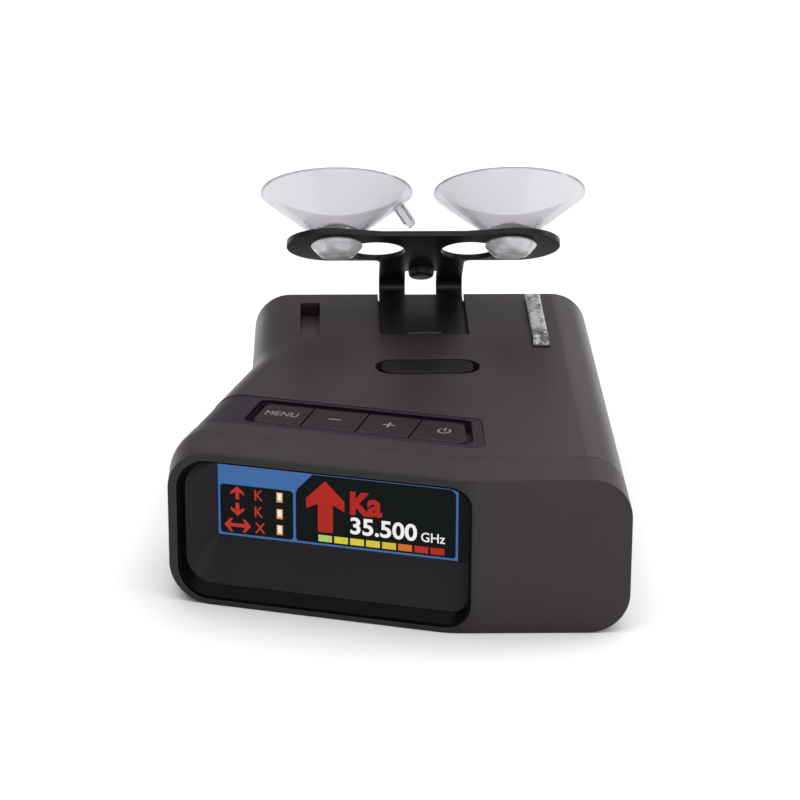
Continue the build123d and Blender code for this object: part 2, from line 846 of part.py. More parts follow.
def bend_sector():
    """The curled bend between tongue and plate."""
    ring = Circle(bend_radius + sheet / 2) - Circle(bend_radius - sheet / 2)
    reach = 20
    half = math.pi / 2
    points = [(0, 0)]
    for step in range(6):
        angle = -half + (arc_end_angle + half) * step / 5
        points.append((reach * math.cos(angle), reach * math.sin(angle)))
    sector = ring & make_face(Polyline(*points, close=True))
    section = Plane(origin=(0, arc_centre[0], arc_centre[1]), x_dir=(0, 1, 0), z_dir=(1, 0, 0)) * sector
    return Pos(plate_x, 0, 0) * extrude(section, amount=web_width / 2, both=True)


def keyhole(side):
    """Round hole with a narrow slot that rises outward, so the bracket hangs from the cups' necks."""
    hole = Pos(side * keyhole_reach, keyhole_t) * Circle(keyhole_radius)
    run = neck_reach - keyhole_reach
    rise = neck_t - keyhole_t
    middle = Pos(side * (keyhole_reach + run / 2), keyhole_t + rise / 2)
    slope = math.degrees(math.atan2(rise, run))
    slot = middle * Rot(0, 0, side * slope) * Rectangle(math.hypot(run, rise), 2 * slot_half)
    end = Pos(side * neck_reach, neck_t) * Circle(slot_half)
    return hole + slot + end


def lobed_plate():
    """Plate sketch: a web that rises from the bend and two round lobes with a shallow dip between them."""
    web = Pos(0, lobe_t / 2) * Rectangle(web_width, lobe_t)
    low_t = lobe_t - lobe_radius
    high_t = lobe_t + lobe_radius
    middle_points = [
        (-lobe_reach, low_t),
        (lobe_reach, low_t),
        (lobe_reach, high_t),
        (plate_dip_reach, plate_top_t),
        (-plate_dip_reach, plate_top_t),
        (-lobe_reach, high_t),
    ]
    shape = web + make_face(Polyline(*middle_points, close=True))
    for side in (-1, 1):
        shape = shape + Pos(side * lobe_reach, lobe_t) * Circle(lobe_radius)
    inner_corners = []
    for side in (-1, 1):
        inner_corners.append(nearest_vertex(shape, side * web_width / 2, low_t))
    shape = fillet(inner_corners, 1.6)
    for side in (-1, 1):
        shape = shape - keyhole(side)
    window = Rectangle(bracket_window_width, 2 * bracket_window_top)
    shape = shape - window
    return shape - Pos(0, bumper_stem_t) * Circle(bumper_stem_radius)


def windshield_bracket():
    """Tongue with thin side flanges, a finger lip at its front, the bend and the plate."""
    half_tongue = tongue_width / 2
    half_land = tongue_land_width / 2
    half_web = web_width / 2
    half_lip = lip_width / 2
    half_window = bracket_window_width / 2
    low = tongue_z - sheet / 2
    high = tongue_z + sheet / 2
    dock_end = body_length - 2.5
    flange_x = (plate_x - half_tongue, plate_x + half_tongue)
    flanges = block(flange_x, (tongue_start, dock_end), (low, tongue_z - 0.05))
    flanges = fillet(flanges.edges().filter_by(Axis.Z), 1.5)
    land = block((plate_x - half_land, plate_x + half_land), (tongue_start, dock_end), (low, high))
    land = fillet(land.edges().filter_by(Axis.Z), 1.0)
    neck = block((plate_x - half_web, plate_x + half_web), (dock_end - 3, bend_y), (low, high))
    lip_x = (plate_x - half_lip, plate_x + half_lip)
    lip = block(lip_x, (tongue_start, tongue_start + lip_depth), (tongue_z, lip_top))
    lip = fillet(lip.edges().filter_by(Axis.X).group_by(Axis.Z)[-1], 0.45)
    bend_end = arc_end[1] + sheet
    window_x = (plate_x - half_window, plate_x + half_window)
    bend_window = block(window_x, (bend_y + 1.0, bend_y + 10), (29, bend_end))
    sheet_part = flanges + land + neck + lip + bend_sector() - bend_window
    return sheet_part + plate_prism(lobed_plate())


def bracket_bumper():
    """Rubber button with a domed head, pushed through a hole above the bracket's window."""
    half = sheet / 2
    head = Pos(0, bumper_t, half + bumper_height / 2) * Cylinder(bumper_radius, bumper_height)
    head = fillet(head.edges().group_by(Axis.Z)[-1], 1.0)
    stem = Pos(0, bumper_stem_t, 0) * Cylinder(bumper_stem_radius, sheet + 0.2)
    back = Pos(0, bumper_stem_t, -half - 0.4) * Cylinder(bumper_stem_radius + 0.8, 0.8)
    return plate_plane * (head + stem + back)


# ---------------------------------------------------------------- suction cups


def cup_profile():
    """Half section in (radius, height along the axis): knob, neck, straight cone, rim and hollow."""
    knob_top = -(sheet / 2 + cup_play)
    knob_end = knob_top - knob_height
    base = sheet / 2 + cup_play
    rim = cup_rim_height
    outer_low = (cup_base_radius, base + 0.4)
    outer_high = (cup_rim_radius - 0.3, rim - 0.9)
    run = outer_high[0] - outer_low[0]
    rise = outer_high[1] - outer_low[1]
    floor = base + cup_floor
    inner_foot = outer_low[0] + (floor - outer_low[1] - cup_wall * math.hypot(run, rise) / run) * run / rise
    points = [
        (0, knob_end),
        (knob_end_radius - 0.7, knob_end),
        (knob_end_radius, knob_end + 0.3),
        (knob_radius - 0.25, knob_top - 0.9),
        (knob_radius, knob_top - 0.5),
        (knob_radius - 0.3, knob_top),
        (cup_neck_radius, knob_top),
        (cup_neck_radius, base),
        (cup_base_radius - 0.4, base),
        outer_low,
        outer_high,
        (cup_rim_radius, rim - 0.5),
        (cup_rim_radius, rim),
        (cup_rim_radius - 0.8, rim),
        (inner_foot, floor),
        (cup_boss_radius + 0.5, floor),
        (cup_boss_radius, floor + 0.4),
        (cup_boss_radius - 0.7, floor + cup_boss_height - 0.2),
        (cup_boss_radius - 1.5, floor + cup_boss_height),
        (0, floor + cup_boss_height),
    ]
    return make_face(Polyline(*points, close=True))


def pull_tab():
    """Small tongue on a cup's rim, bent back from the glass."""
    tongue = Pos(tab_reach / 2 - 0.6, 0, 0) * Box(tab_reach + 1.2, tab_width, tab_thickness)
    end = Pos(tab_reach, 0, 0) * Cylinder(tab_width / 2, tab_thickness)
    root = Pos(cup_rim_radius - 0.5, 0, cup_rim_height - 0.9)
    return root * Rot(0, tab_bend_back, 0) * (tongue + end)


def suction_cup(side, with_tab):
    """A cup with its knob, placed with its neck at the outer end of a keyhole."""
    cup = revolve(Plane.XZ * cup_profile(), Axis.Z)
    if with_tab:
        cup = cup + Rot(0, 0, tab_turn) * pull_tab()
    seat = Plane(
        origin=(plate_plane * Pos(side * neck_reach, neck_t, 0)).position,
        x_dir=(1, 0, 0),
        z_dir=(0, lean_sin, lean_cos),
    )
    return seat * cup


nodes = {
    "top_cover": top_cover,
    "bottom_cover": bottom_cover,
    "display_bezel": display_bezel,
    "display_trim": display_trim,
    "display_hood": display_hood,
    "display_window": display_window,
    "display_gasket": display_gasket,
    "display_panel": display_panel,
    "display_board": display_board,
    "display_flex_cable": display_flex_cable,
    "keypad_surround": keypad_surround,
    "key_menu": lambda: key(key_joints_s[0], key_joints_s[1], True, False),
    "key_volume_down": lambda: key(key_joints_s[1], key_joints_s[2], False, False),
    "key_volume_up": lambda: key(key_joints_s[2], key_joints_s[3], False, False),
    "key_power": lambda: key(key_joints_s[3], None, False, True),
    "mute_button": mute_button,
    "key_board": key_board,
    "keypad_mat": keypad_mat,
    "tact_switches": tact_switches,
    "rear_laser_lens": rear_laser_lens,
    "rear_laser_sensor": rear_laser_sensor,
    "light_sensor_window": light_sensor_window,
    "light_sensor": light_sensor,
    "front_laser_window": front_laser_window,
    "front_laser_sensor": front_laser_sensor,
    "main_board": main_board,
    "front_horn_antenna": front_horn_antenna,
    "rear_horn_antenna": rear_horn_antenna,
    "rf_shield_can": rf_shield_can,
    "gps_antenna": gps_antenna,
    "speaker": speaker,
    "power_jack": power_jack,
    "audio_jack": audio_jack,
    "usb_port": usb_port,
    "case_screws": case_screws,
    "board_screws": board_screws,
    "rating_label": rating_label,
    "dock_detent_spring": dock_detent_spring,
    "windshield_bracket": windshield_bracket,
    "bracket_bumper": bracket_bumper,
    "suction_cup_left": lambda: suction_cup(-1, True),
    "suction_cup_right": lambda: suction_cup(1, False),
}

os.makedirs("parts", exist_ok=True)
for name, build in nodes.items():
    shape = build()
    print(name, round(shape.volume, 1), len(shape.solids()))
    export_step(shape, f"parts/{name}.step")
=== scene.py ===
import json
import math
import bmesh
import bpy
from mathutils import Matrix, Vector

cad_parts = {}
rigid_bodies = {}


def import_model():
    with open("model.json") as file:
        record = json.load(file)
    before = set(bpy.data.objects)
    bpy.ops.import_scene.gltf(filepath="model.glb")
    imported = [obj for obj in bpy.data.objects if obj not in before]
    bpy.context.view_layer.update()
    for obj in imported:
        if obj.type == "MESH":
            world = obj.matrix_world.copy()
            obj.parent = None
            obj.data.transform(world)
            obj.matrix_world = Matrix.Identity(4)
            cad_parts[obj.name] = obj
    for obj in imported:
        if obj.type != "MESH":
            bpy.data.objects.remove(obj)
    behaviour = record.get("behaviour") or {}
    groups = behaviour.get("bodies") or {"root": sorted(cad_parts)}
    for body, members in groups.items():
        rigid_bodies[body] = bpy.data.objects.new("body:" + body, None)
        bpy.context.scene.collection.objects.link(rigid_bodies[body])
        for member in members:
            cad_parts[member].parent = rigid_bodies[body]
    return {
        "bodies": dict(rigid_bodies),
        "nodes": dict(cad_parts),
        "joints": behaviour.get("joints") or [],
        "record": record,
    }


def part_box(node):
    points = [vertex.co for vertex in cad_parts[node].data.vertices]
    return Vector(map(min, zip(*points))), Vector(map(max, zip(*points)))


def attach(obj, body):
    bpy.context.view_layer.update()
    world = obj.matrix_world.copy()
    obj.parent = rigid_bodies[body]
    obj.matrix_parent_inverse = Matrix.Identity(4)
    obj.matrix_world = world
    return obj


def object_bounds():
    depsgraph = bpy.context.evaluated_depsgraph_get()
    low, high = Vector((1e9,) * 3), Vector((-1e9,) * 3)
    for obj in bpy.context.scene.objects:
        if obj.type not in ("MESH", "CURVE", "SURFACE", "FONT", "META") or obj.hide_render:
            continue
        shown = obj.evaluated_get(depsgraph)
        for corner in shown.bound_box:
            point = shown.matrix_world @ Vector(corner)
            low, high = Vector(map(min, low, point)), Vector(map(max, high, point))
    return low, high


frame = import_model()
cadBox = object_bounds()
nodes = frame["nodes"]
mm = 0.001
print("frame loaded:", len(nodes), "nodes")


# shader helper: a socket that can be added, multiplied and so on

class Sock:
    def __init__(self, mat, socket):
        self.mat, self.socket = mat, socket

    def maths(self, operation, other, clamp=False):
        return self.mat.node("ShaderNodeMath", {"operation": operation, "use_clamp": clamp}, {0: self, 1: other})

    def flipped(self, operation, other):
        return self.mat.node("ShaderNodeMath", {"operation": operation}, {0: other, 1: self})

    def __add__(self, other): return self.maths("ADD", other)
    def __radd__(self, other): return self.flipped("ADD", other)
    def __sub__(self, other): return self.maths("SUBTRACT", other)
    def __rsub__(self, other): return self.flipped("SUBTRACT", other)
    def __mul__(self, other): return self.maths("MULTIPLY", other)
    def __rmul__(self, other): return self.flipped("MULTIPLY", other)
    def __truediv__(self, other): return self.maths("DIVIDE", other)
    def __rtruediv__(self, other): return self.flipped("DIVIDE", other)
    def clamped(self): return self.maths("ADD", 0.0, clamp=True)


class Finish:
    # one material; node() adds any node, settings first, then socket values or links

    def __init__(self, name):
        self.material = bpy.data.materials.new(name)
        self.material.use_nodes = True
        self.tree = self.material.node_tree
        self.tree.nodes.clear()
        self.shader = self.tree.nodes.new("ShaderNodeBsdfPrincipled")
        self.out = self.tree.nodes.new("ShaderNodeOutputMaterial")
        self.tree.links.new(self.shader.outputs[0], self.out.inputs["Surface"])

    def put(self, target, value):
        if isinstance(value, Sock):
            self.tree.links.new(value.socket, target)
        elif hasattr(target.default_value, "__len__") and isinstance(value, (tuple, list)):
            full = list(value) + [1.0] * (len(target.default_value) - len(value))
            target.default_value = full[:len(target.default_value)]
        else:
            target.default_value = value

    def node(self, kind, settings=None, inputs=None, output=0):
        made = self.tree.nodes.new(kind)
        for key, value in (settings or {}).items():
            if key == "stops":
                self.fillRamp(made.color_ramp, value)
            else:
                setattr(made, key, value)
        for key, value in (inputs or {}).items():
            self.put(made.inputs[key], value)
        return Sock(self, made.outputs[output])

    def fillRamp(self, ramp, stops):
        while len(ramp.elements) < len(stops):
            ramp.elements.new(0.5)
        for element, (place, value) in zip(ramp.elements, stops):
            element.position = place
            element.color = (value, value, value, 1)

    def place(self):
        return self.node("ShaderNodeTexCoord", output=3)  # object coordinates, metres

    def axis(self, which):
        return self.node("ShaderNodeSeparateXYZ", None, {0: self.place()}, output=which)  # 0, 1, 2 for x, y, z

    def level(self, direction):
        # how far along a direction a point lies
        return self.node("ShaderNodeVectorMath", {"operation": "DOT_PRODUCT"},
                         {0: self.place(), 1: direction}, output=1)

    def stretched(self, scale):
        return self.node("ShaderNodeMapping", None, {"Vector": self.place(), "Scale": scale})

    def noise(self, scale, detail=3.0, roughness=0.5, vector=None):
        return self.node("ShaderNodeTexNoise", None,
                         {"Vector": vector or self.place(), "Scale": scale, "Detail": detail, "Roughness": roughness})

    def ramp(self, factor, stops):
        return self.node("ShaderNodeValToRGB", {"stops": stops}, {"Fac": factor})

    def mix(self, factor, a, b):
        return self.node("ShaderNodeMix", {"data_type": "RGBA"}, {0: factor, 6: a, 7: b}, output=2)

    def bump(self, height, strength, distance, normal=None):
        inputs = {"Height": height, "Strength": strength, "Distance": distance}
        if normal:
            inputs["Normal"] = normal
        return self.node("ShaderNodeBump", None, inputs)

    def softEdges(self, radius):
        return self.node("ShaderNodeBevel", {"samples": 4}, {"Radius": radius})

    def edgeMask(self, radius, gain):
        # 0 on flats, towards 1 on outer and inner edges
        rounded = self.softEdges(radius)
        flat = self.node("ShaderNodeNewGeometry", output=3)
        same = self.node("ShaderNodeVectorMath", {"operation": "DOT_PRODUCT"}, {0: rounded, 1: flat}, output=1)
        return ((1 - same) * gain).clamped()

    def set(self, **values):
        for key, value in values.items():
            self.put(self.shader.inputs[key.replace("_", " ")], value)
        return self.material

    def blendWith(self, factor, **values):
        # a second shader, shown where factor is 1
        second = self.node("ShaderNodeBsdfPrincipled", None, {k.replace("_", " "): v for k, v in values.items()})
        first = Sock(self, self.shader.outputs[0])
        self.put(self.out.inputs["Surface"], self.node("ShaderNodeMixShader", None, {0: factor, 1: first, 2: second}))
        return self.material


def scaled(colour, factor, extra=0.0):
    return tuple(c * factor + extra for c in colour)


# places on the turned face: s runs left from the kink, d inward, z up

turnedFace = {"turn": math.radians(17), "kinkX": 9.7 * mm, "frameEnd": -5.1 * mm, "frameDepth": 1.6 * mm}
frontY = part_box("display_bezel")[0].y


def turnedPoint(s, d, z):
    c, k = math.cos(turnedFace["turn"]), math.sin(turnedFace["turn"])
    return Vector((turnedFace["kinkX"] - s * c + d * k, frontY + s * k + d * c, z))


# materials

def mouldedPlastic(name, colour, roughness, grain=0.035, edgeHighlightLift=0.3, shine=0.42, frame=None):
    f = Finish(name)
    spark = f.noise(5200, 2, 0.6)
    cloud = f.noise(38, 3, 0.55)
    # painted highlight: the rounded edges are painted paler, as if catching light
    edge = f.edgeMask(0.35 * mm, 3.0)
    light = scaled(colour, 1 + edgeHighlightLift, 0.004)
    tone = f.mix(cloud, scaled(colour, 0.93), scaled(colour, 1.07))
    # painted shade: the frame colour is laid near-black over the front round the recess
    if frame:
        tone = f.mix(recessShade(f), tone, frame)
    rounded = f.softEdges(0.22 * mm)
    return f.set(
        Base_Color=f.mix(edge * 0.7, tone, light),
        Roughness=(cloud * 0.1 + spark * 0.08 + (roughness - 0.09)).clamped(),
        Normal=f.bump(spark, grain, 0.1 * mm, rounded),
        Specular_IOR_Level=shine)


def recessShade(f):
    # painted shade mask: 1 on the flat front of the turned face, round the recess, standing in for the recess's shade
    c, k = math.cos(turnedFace["turn"]), math.sin(turnedFace["turn"])
    x, y = f.axis(0) - turnedFace["kinkX"], f.axis(1) - frontY
    inward, along = x * k + y * c, y * k - x * c
    shallow = (turnedFace["frameDepth"] / mm - inward * (1 / mm)).clamped()  # fades over 1 mm
    return shallow * ((along - turnedFace["frameEnd"]) * (2 / mm)).clamped()


def glossPlastic(name, colour, roughness=0.1, shine=0.3):
    f = Finish(name)
    smear = f.noise(55, 4, 0.6)
    return f.set(
        Base_Color=f.mix(smear, colour, scaled(colour, 1.25, 0.001)),
        Roughness=(smear * 0.07 + (roughness - 0.03)).clamped(), Specular_IOR_Level=shine,
        Normal=f.bump(smear, 0.02, 0.2 * mm, f.softEdges(0.15 * mm)))


def paintedSheet(name, colour, roughness):
    f = Finish(name)
    peel = f.noise(1400, 2, 0.5)
    cloud = f.noise(60, 3, 0.5)
    # painted highlight: the edges are painted paler, as if catching light
    edge = f.edgeMask(0.3 * mm, 3.5)
    paintedEdgeHighlight = (0.06, 0.058, 0.06)
    return f.set(
        Base_Color=f.mix(edge * 0.25, f.mix(cloud, colour, scaled(colour, 1.3)), paintedEdgeHighlight),
        Roughness=(cloud * 0.1 + peel * 0.06 + (roughness - 0.08)).clamped(),
        Normal=f.bump(peel, 0.06, 0.1 * mm, f.softEdges(0.25 * mm)),
        Specular_IOR_Level=0.24)


def bareMetal(name, colour, roughness, streak=(90, 90, 900)):
    f = Finish(name)
    brushed = f.noise(1, 2, 0.5, f.stretched(streak))
    return f.set(
        Base_Color=f.mix(brushed, scaled(colour, 0.8), colour), Metallic=1.0,
        Roughness=(brushed * 0.2 + (roughness - 0.1)).clamped(), Normal=f.bump(brushed, 0.08, 0.1 * mm))


def softRubber(name, colour, roughness=0.6):
    f = Finish(name)
    cloud = f.noise(300, 3, 0.6)
    return f.set(
        Base_Color=f.mix(cloud, colour, scaled(colour, 1.3)),
        Roughness=(cloud * 0.15 + (roughness - 0.07)).clamped(),
        Normal=f.bump(cloud, 0.08, 0.1 * mm, f.softEdges(0.2 * mm)))


# "edge" is painted shade on the bell's edges; the "knob" colours are a painted highlight on the same clear vinyl
vinylLook = {"bell": ((0.74, 0.715, 0.76), (0.82, 0.80, 0.835)), "edge": (0.22, 0.21, 0.23),
             "knob": ((0.66, 0.64, 0.68), (0.99, 0.98, 1.0)),
             "plateLean": math.radians(35), "plateLevel": 61.6 * mm}


def clearVinyl(name):
    # clear bell with painted shade on its edges; below the plate the knob is painted paler and less clear, a painted
    # highlight
    f = Finish(name)
    cloud = f.noise(70, 3, 0.5)
    swirl = f.noise(340, 3, 0.6)
    # painted shade: the bell's edges are tinted dark
    f.set(
        Base_Color=f.mix(f.edgeMask(0.35 * mm, 6.0), f.mix(cloud, *vinylLook["bell"]), vinylLook["edge"]),
        Roughness=(cloud * 0.06 + 0.04).clamped(), Transmission_Weight=0.75, IOR=1.33,
        Normal=f.bump(cloud, 0.04, 0.3 * mm))
    lean = vinylLook["plateLean"]
    height = f.level((0, math.sin(lean), math.cos(lean)))
    below = ((vinylLook["plateLevel"] - height) * (4 / mm)).clamped()
    # painted highlight: below the plate the knob is painted paler and less clear than the bell
    return f.blendWith(
        below, Base_Color=f.mix(f.ramp(swirl, [(0.35, 0.0), (0.6, 1.0)]), *vinylLook["knob"]),
        Roughness=(swirl * 0.15 + 0.05).clamped(), Transmission_Weight=0.15, Normal=f.bump(swirl, 0.25, 0.3 * mm))


# "dark" is painted shade on the lens's near end
lensLook = {"dark": (0.05, 0.045, 0.05), "pale": (0.58, 0.55, 0.58), "speck": (0.93, 0.93, 0.95),
            "patch": (0.12, 0.11, 0.13)}


def clearBlock(name):
    # painted shade: dark at the near end, where the block stands in the pocket; mottled with pale specks and dark
    # patches
    f = Finish(name)
    cloud = f.noise(220, 3, 0.6)
    low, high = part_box("rear_laser_lens")
    far = ((f.axis(1) - low.y) / (high.y - low.y)).clamped()
    speck = f.ramp(f.noise(620, 2, 0.5), [(0.50, 0.0), (0.64, 1.0)])
    patch = f.ramp(f.noise(480, 2, 0.5, f.stretched((1.3, 0.8, 1))), [(0.36, 1.0), (0.47, 0.0)])
    # painted shade: the near end is tinted dark, the far end pale
    tint = f.mix(f.ramp(far, [(0.14, 0.0), (0.32, 1.0)]), lensLook["dark"], lensLook["pale"])
    specked = f.mix(speck * 0.6, tint, lensLook["speck"])
    return f.set(
        Base_Color=f.mix(patch * 0.8, specked, lensLook["patch"]), Transmission_Weight=0.25,
        Roughness=(cloud * 0.15 + 0.03).clamped(), IOR=1.45,
        Normal=f.bump(cloud, 0.12, 0.3 * mm, f.softEdges(0.2 * mm)))


def boardMask(name):
    f = Finish(name)
    grid = f.node("ShaderNodeTexVoronoi", {"feature": "DISTANCE_TO_EDGE", "distance": "MANHATTAN"},
                  {"Vector": f.place(), "Scale": 420})
    track = f.ramp(grid, [(0.0, 0.0), (0.12, 1.0)])
    return f.set(Base_Color=f.mix(track, (0.05, 0.20, 0.09), (0.008, 0.075, 0.032)), Roughness=0.35,
                 Normal=f.bump(track, 0.2, 0.05 * mm))


def litInk(name, colour, strength=1.0):
    # glows, with a faint grid of dots
    f = Finish(name)
    dots = f.node("ShaderNodeTexVoronoi", {"feature": "F1"}, {"Vector": f.place(), "Scale": 3300})
    glow = f.ramp(dots, [(0.2, 1.0), (0.75, 0.86)])
    lit = f.mix(glow, (0, 0, 0), colour)
    return f.set(Base_Color=(0.002, 0.002, 0.002), Emission_Color=lit, Emission_Strength=strength,
                 Roughness=0.4, Specular_IOR_Level=0.05)


def plainInk(name, colour, roughness=0.5):
    f = Finish(name)
    grain = f.noise(2500, 2, 0.5)
    return f.set(Base_Color=f.mix(grain, colour, scaled(colour, 0.85)), Roughness=roughness)


casePlastic = mouldedPlastic("casePlastic", (0.0205, 0.0125, 0.0172), 0.36)
# frame here is painted shade round the display recess
bezelPlastic = mouldedPlastic("bezelPlastic", (0.0175, 0.0095, 0.0135), 0.44, frame=(0.0015, 0.0012, 0.0015))
bandPlastic = mouldedPlastic("bandPlastic", (0.0118, 0.0056, 0.0112), 0.42, shine=0.28)
keyPlastic = mouldedPlastic("keyPlastic", (0.0100, 0.0058, 0.0092), 0.4, grain=0.02, shine=0.24)
mutePlastic = mouldedPlastic("mutePlastic", (0.0065, 0.0055, 0.006), 0.42, grain=0.02, shine=0.1)
hoodPlastic = mouldedPlastic("hoodPlastic", (0.0165, 0.0135, 0.0165), 0.5, grain=0.05, edgeHighlightLift=0.2, shine=0.2)
trimGloss = glossPlastic("trimGloss", (0.0025, 0.0022, 0.0025), 0.34, shine=0.04)
screenBlack = glossPlastic("screenBlack", (0.003, 0.0035, 0.004), 0.25, shine=0.08)
windowDark = glossPlastic("windowDark", (0.010, 0.004, 0.007), 0.08)
sensorRed = glossPlastic("sensorRed", (0.12, 0.015, 0.02), 0.15)
bracketPaint = paintedSheet("bracketPaint", (0.0065, 0.0055, 0.0062), 0.36)
bumperRubber = softRubber("bumperRubber", (0.012, 0.011, 0.012), 0.45)
matRubber = softRubber("matRubber", (0.006, 0.006, 0.006), 0.8)
foamBlack = softRubber("foamBlack", (0.02, 0.02, 0.02), 0.9)
vinyl = clearVinyl("vinyl")
lensClear = clearBlock("lensClear")
boardGreen = boardMask("boardGreen")
steel = bareMetal("steel", (0.55, 0.55, 0.57), 0.35)
blackSteel = bareMetal("blackSteel", (0.10, 0.10, 0.105), 0.4)
castAlloy = bareMetal("castAlloy", (0.6, 0.6, 0.62), 0.45, (300, 300, 300))
socketBlack = mouldedPlastic("socketBlack", (0.012, 0.012, 0.013), 0.45)
filmAmber = plainInk("filmAmber", (0.40, 0.17, 0.03), 0.3)
ceramicCream = plainInk("ceramicCream", (0.62, 0.58, 0.48), 0.6)
labelGrey = plainInk("labelGrey", (0.35, 0.35, 0.36), 0.5)

nodeFinish = {
    "top_cover": casePlastic, "bottom_cover": casePlastic, "display_bezel": bezelPlastic,
    "display_trim": trimGloss, "display_hood": hoodPlastic, "display_window": screenBlack,
    "display_gasket": foamBlack, "display_panel": screenBlack, "display_board": boardGreen,
    "display_flex_cable": filmAmber, "keypad_surround": bandPlastic, "key_menu": keyPlastic,
    "key_volume_down": keyPlastic, "key_volume_up": keyPlastic, "key_power": keyPlastic,
    "mute_button": mutePlastic, "key_board": boardGreen, "keypad_mat": matRubber, "tact_switches": steel,
    "rear_laser_lens": lensClear, "rear_laser_sensor": sensorRed, "light_sensor_window": windowDark,
    "light_sensor": sensorRed, "front_laser_window": windowDark, "front_laser_sensor": sensorRed,
    "main_board": boardGreen, "front_horn_antenna": castAlloy, "rear_horn_antenna": castAlloy,
    "rf_shield_can": steel, "gps_antenna": ceramicCream, "speaker": socketBlack, "power_jack": socketBlack,
    "audio_jack": socketBlack, "usb_port": steel, "case_screws": blackSteel, "board_screws": steel,
    "rating_label": labelGrey, "dock_detent_spring": steel, "windshield_bracket": bracketPaint,
    "bracket_bumper": bumperRubber, "suction_cup_left": vinyl, "suction_cup_right": vinyl,
}
for name, finish in nodeFinish.items():
    nodes[name].data.materials.clear()
    nodes[name].data.materials.append(finish)
print("finishes set:", len(nodeFinish))


# flat shapes

capitalShare = 0.729  # a capital's height as a share of the font's size


class Flat:
    # collects polygons of several inks on one plane, then makes one mesh

    def __init__(self, name, origin, right, up):
        self.name, self.origin, self.right, self.up = name, origin, right.normalized(), up.normalized()
        self.out = self.right.cross(self.up)
        self.bm = bmesh.new()
        self.inks = []

    def at(self, a, b, lift):
        return self.origin + self.right * a + self.up * b + self.out * lift

    def inkIndex(self, ink):
        if ink not in self.inks:
            self.inks.append(ink)
        return self.inks.index(ink)

    def polygon(self, points, ink, lift):
        face = self.bm.faces.new([self.bm.verts.new(self.at(a, b, lift)) for a, b in points])
        face.material_index = self.inkIndex(ink)

    def box(self, a0, b0, a1, b1, ink, lift):
        self.polygon([(a0, b0), (a1, b0), (a1, b1), (a0, b1)], ink, lift)

    def words(self, body, a, b, height, ink, lift, bold=0.0, squeeze=1.0):
        # a, b is the lower left corner of the text, height is a capital's
        curve = bpy.data.curves.new(body, "FONT")
        curve.body = body
        curve.size = height / capitalShare
        curve.offset = bold
        curve.resolution_u = 4
        holder = bpy.data.objects.new(body, curve)
        bpy.context.scene.collection.objects.link(holder)
        bpy.context.view_layer.update()
        flat = bpy.data.meshes.new_from_object(holder.evaluated_get(bpy.context.evaluated_depsgraph_get()))
        start = len(self.bm.faces)
        made = bmesh.new()
        made.from_mesh(flat)
        low = min(v.co.x for v in made.verts)
        for v in made.verts:
            v.co = self.at(a + (v.co.x - low) * squeeze, b + v.co.y, lift)
        flat.clear_geometry()
        made.to_mesh(flat)
        made.free()
        self.bm.from_mesh(flat)
        self.bm.faces.ensure_lookup_table()
        index = self.inkIndex(ink)
        for face in self.bm.faces[start:]:
            face.material_index = index
        bpy.data.objects.remove(holder)
        bpy.data.meshes.remove(flat)
        bpy.data.curves.remove(curve)

    def ring(self, a, b, radius, width, fromDeg, toDeg, ink, lift, steps=20):
        turns = [math.radians(fromDeg + (toDeg - fromDeg) * i / steps) for i in range(steps + 1)]
        for t0, t1 in zip(turns, turns[1:]):
            inner, outer = radius - width / 2, radius + width / 2
            self.polygon([(a + inner * math.cos(t0), b + inner * math.sin(t0)),
                          (a + outer * math.cos(t0), b + outer * math.sin(t0)),
                          (a + outer * math.cos(t1), b + outer * math.sin(t1)),
                          (a + inner * math.cos(t1), b + inner * math.sin(t1))], ink, lift)

    def make(self, body):
        mesh = bpy.data.meshes.new(self.name)
        bmesh.ops.recalc_face_normals(self.bm, faces=self.bm.faces)
        for face in self.bm.faces:
            if face.normal.dot(self.out) < 0:
                face.normal_flip()
        self.bm.to_mesh(mesh)
        self.bm.free()
        for ink in self.inks:
            mesh.materials.append(ink)
        piece = bpy.data.objects.new(self.name, mesh)
        bpy.context.scene.collection.objects.link(piece)
        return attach(piece, body)


# the lit picture, drawn just in front of the window

def inMm(*values):
    return [v * mm for v in values]


# a runs right and b up from the screen's lower left corner; arrow sizes as in arrowPoints
screen = {
    "left": 49.1 * mm, "right": 0.2 * mm, "low": 12.2 * mm, "high": 27.35 * mm, "depth": 7.0 * mm,
    "lifts": inMm(0.02, 0.04, 0.06, 0.08), "border": 0.45 * mm, "header": 4.35 * mm, "corner": 0.45 * mm,
    "divider": inMm(15.5, 16.05), "slant": inMm(16.4, 19.5), "slantRise": 0.6 * mm, "slantStart": 0.3 * mm,
    "rows": (("K", 9.15 * mm), ("K", 5.65 * mm), ("X", 2.25 * mm)), "rowArrow": 4.0 * mm, "pairStep": 1.4 * mm,
    "pairLift": 0.004 * mm, "smallArrow": inMm(2.8, 2.8, 0.8, 1.25, 0.6, 1.25),
    "letter": 7.55 * mm, "letterDrop": 1.15 * mm, "letterHeight": 2.3 * mm,
    "block": inMm(12.1, -1.05, 13.35, 1.05), "blockLight": inMm(12.35, -0.6, 13.1, 0.85),
    "strongPlace": inMm(22.1, 2.85), "strongArrow": inMm(7.8, 10.8, 3.1, 3.9, 2.2, 4.9),
    "barFirst": 20.65 * mm, "barPitch": 3.25 * mm, "barGap": 0.45 * mm, "barSpan": inMm(0.85, 2.25)}
blueInk = litInk("blueInk", (0.051, 0.144, 0.376), 1.05)
blackInk = litInk("blackInk", (0.0055, 0.008, 0.009), 0.6)
redInk = litInk("redInk", (0.50, 0.034, 0.022))
strongRedInk = litInk("strongRedInk", (0.44, 0.022, 0.014))
whiteInk = litInk("whiteInk", (0.90, 0.92, 0.92))
